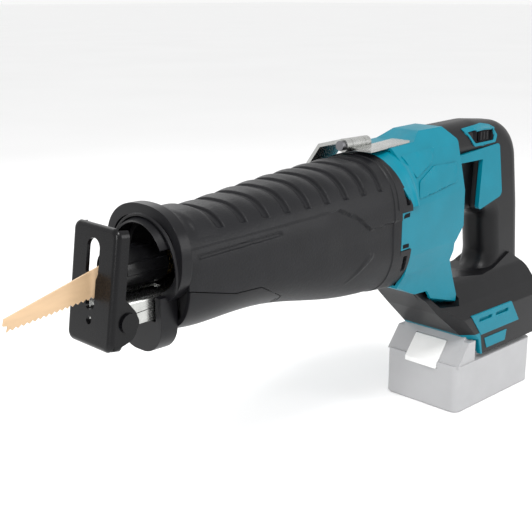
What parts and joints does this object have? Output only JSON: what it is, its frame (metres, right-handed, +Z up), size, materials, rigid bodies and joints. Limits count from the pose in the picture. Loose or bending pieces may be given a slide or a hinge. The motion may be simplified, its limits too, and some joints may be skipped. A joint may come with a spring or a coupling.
{
  "type": "reciprocating saw",
  "caption": "Cordless reciprocating saw with a D handle, ribbed rubber boot over the gear case, pivoting slotted shoe, wood blade, fold-away hook and slide-on battery pack.",
  "frame": {"origin": "centre of the battery pack's flat bottom face", "axes": "+X forward, out of the blade end along the stroke; +Y to the tool's left; +Z up"},
  "size_m": [0.5093, 0.0926, 0.2384],
  "materials": {
    "boot_rubber": "pebbled black rubber",
    "black_plastic": "satin black moulding",
    "grip_black": "soft black overmould",
    "cast_alloy": "as cast",
    "bronze": "turned",
    "seal_rubber": "black",
    "lamp_lens": "clear lens",
    "screw_steel": "zinc plated",
    "steel": "ground",
    "rod_steel": "hardened dark steel",
    "plated_steel": "zinc plated",
    "black_steel": "gloss black coating",
    "black_sleeve": "black oxide",
    "blade_tan": "tan coating",
    "lamination": "laminated",
    "copper": "enamelled copper",
    "grey_plastic": "grey moulding",
    "teal_plastic": "teal moulding",
    "pack_grey": "light grey moulding",
    "pack_white": "off-white moulding",
    "cell_green": "shrink sleeve",
    "board_green": "circuit board"
  },
  "bodies": {
    "tool": {"rubber_boot": "boot_rubber", "lower_cover": "black_plastic", "gear_case_upper": "cast_alloy", "gear_case_lower": "cast_alloy", "plunger_bushes": "bronze", "dust_seal": "seal_rubber", "work_lamp": "lamp_lens", "gear_case_screws": "screw_steel", "motor_bearings": "steel", "crank_bearing": "steel", "nose_guard": "black_plastic", "stator": "lamination", "stator_coils": "copper", "motor_housing_left": "teal_plastic", "motor_housing_right": "teal_plastic", "handle_left": "grip_black", "handle_right": "grip_black", "trigger_panel_left": "teal_plastic", "trigger_panel_right": "teal_plastic", "grip_strip": "teal_plastic", "lock_frame_left": "teal_plastic", "lock_frame_right": "teal_plastic", "vent_panel_left": "teal_plastic", "vent_panel_right": "teal_plastic", "foot_trim": "teal_plastic", "foot_badges": "teal_plastic", "housing_screws": "screw_steel", "switch_unit": "grey_plastic", "controller": "grey_plastic", "terminal_block": "grey_plastic", "hook_plate": "plated_steel", "hook_pin": "screw_steel"},
    "rotor": {"rotor_shaft": "steel", "pinion": "steel", "rotor_core": "lamination", "cooling_fan": "grey_plastic"},
    "crank": {"crank_gear": "steel", "crank_pin": "steel", "counterweight": "steel"},
    "plunger": {"plunger_rod": "rod_steel", "clamp_pin": "steel", "yoke": "steel", "blade": "blade_tan"},
    "clamp": {"clamp_sleeve": "black_sleeve"},
    "support": {"shoe_support": "plated_steel"},
    "shoe": {"shoe": "black_steel", "shoe_pivot_pins": "black_steel"},
    "shoe_button": {"shoe_release_button": "black_plastic"},
    "trigger": {"trigger": "black_plastic"},
    "lock_off": {"lock_off_button": "black_plastic"},
    "hook": {"belt_hook": "plated_steel"},
    "pack": {"pack_case_lower": "pack_grey", "pack_case_upper": "pack_grey", "cells": "cell_green", "cell_straps": "plated_steel", "pack_board": "board_green", "pack_screws": "screw_steel"},
    "pack_button": {"release_button": "pack_white"}
  },
  "joints": [
    {"name": "crank_turn", "type": "hinge", "parent": "tool", "child": "crank", "pos_m": [0.1592, 0, 0.15], "axis": [0, 0, 1], "continuous": true},
    {"name": "rotor_spin", "type": "hinge", "parent": "tool", "child": "rotor", "pos_m": [0.09, 0, 0.167], "axis": [1, 0, 0], "continuous": true},
    {"name": "plunger_slide", "type": "slide", "parent": "tool", "child": "plunger", "axis": [1, 0, 0], "range_m": [-0.032, 0]},
    {"name": "clamp_turn", "type": "hinge", "parent": "plunger", "child": "clamp", "pos_m": [0.35, 0, 0.179], "axis": [1, 0, 0], "range_deg": [0, 60], "stiffness_Nm_per_rad": 0.05},
    {"name": "support_slide", "type": "slide", "parent": "tool", "child": "support", "axis": [1, 0, 0], "range_m": [0, 0.028]},
    {"name": "shoe_tilt", "type": "hinge", "parent": "support", "child": "shoe", "pos_m": [0.3748, 0, 0.1526], "axis": [0, 1, 0], "range_deg": [-8, 18]},
    {"name": "shoe_button_press", "type": "slide", "parent": "tool", "child": "shoe_button", "axis": [0, 0, 1], "range_m": [0, 0.0025], "stiffness_N_per_m": 400},
    {"name": "trigger_pull", "type": "slide", "parent": "tool", "child": "trigger", "axis": [-1, 0, 0], "range_m": [0, 0.008], "stiffness_N_per_m": 600},
    {"name": "lock_off_push", "type": "slide", "parent": "tool", "child": "lock_off", "axis": [0, 1, 0], "range_m": [-0.002, 0.002]},
    {"name": "hook_fold", "type": "hinge", "parent": "tool", "child": "hook", "pos_m": [0.145, -0.0045, 0.2308], "axis": [-1, 0, 0], "range_deg": [0, 120]},
    {"name": "pack_slide", "type": "slide", "parent": "tool", "child": "pack", "axis": [1, 0, 0], "range_m": [0, 0.08]},
    {"name": "pack_button_press", "type": "slide", "parent": "pack", "child": "pack_button", "axis": [-1, 0, 0], "range_m": [0, 0.003], "stiffness_N_per_m": 800}
  ],
  "couplings": [
    {"joint": "rotor_spin", "follows": "crank_turn", "ratio": -6}
  ]
}
